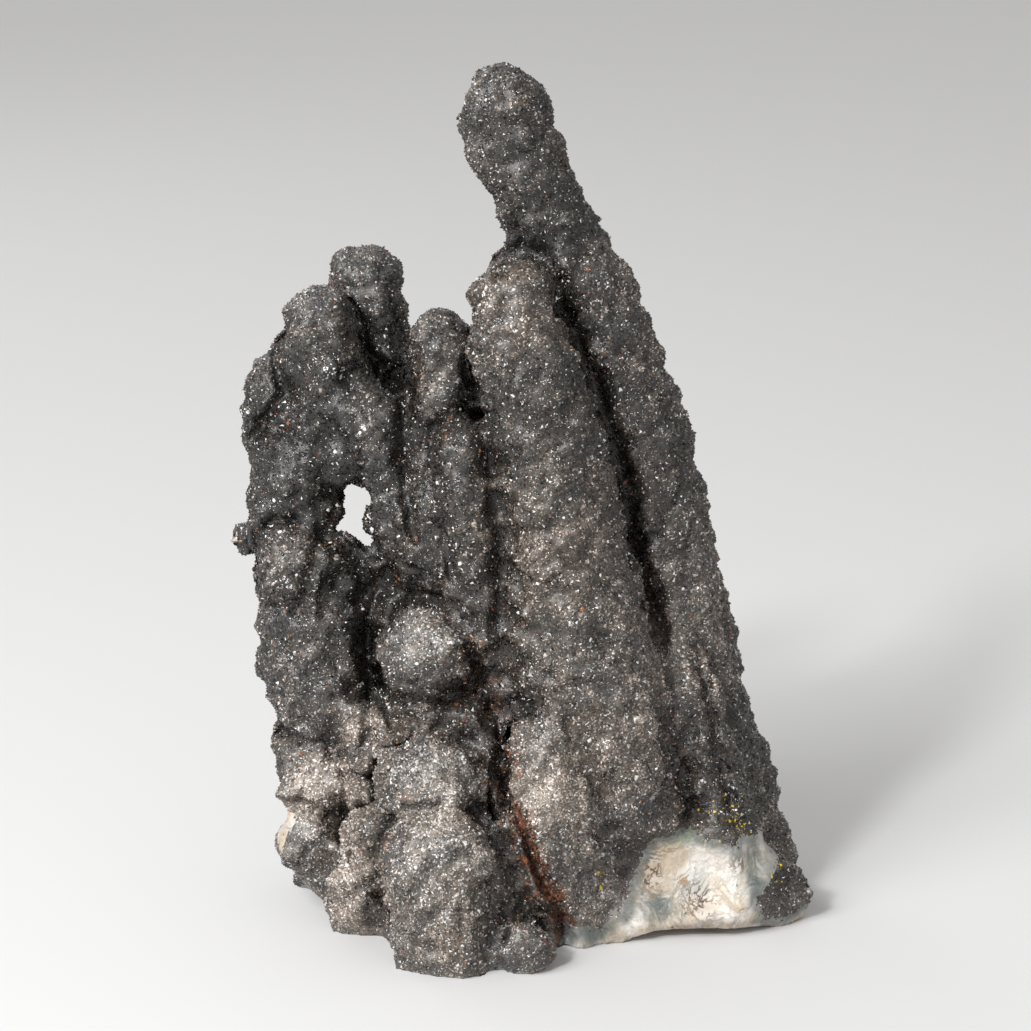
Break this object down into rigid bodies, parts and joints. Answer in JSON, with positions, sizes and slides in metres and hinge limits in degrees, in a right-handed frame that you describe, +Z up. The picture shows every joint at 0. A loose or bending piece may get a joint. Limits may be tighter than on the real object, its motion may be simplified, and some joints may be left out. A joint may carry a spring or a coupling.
{
  "type": "druzy quartz stalactite cluster",
  "caption": "Cluster of rounded quartz stalactites grown together on a foot of broken agate, crusted all over with sparkling smoky grey druse crystals.",
  "frame": {"origin": "middle of the outline at the flat cut under the foot", "axes": "+Z up along the growth of the fingers, +X to the right of the front view, +Y to the back"},
  "size_m": [0.2106, 0.125, 0.3047],
  "materials": {
    "smoky_druse_quartz": "sparkling crystal crust with a broken agate foot"
  },
  "bodies": {
    "root": {"druzy_stalactite_cluster": "smoky_druse_quartz"}
  },
  "joints": []
}
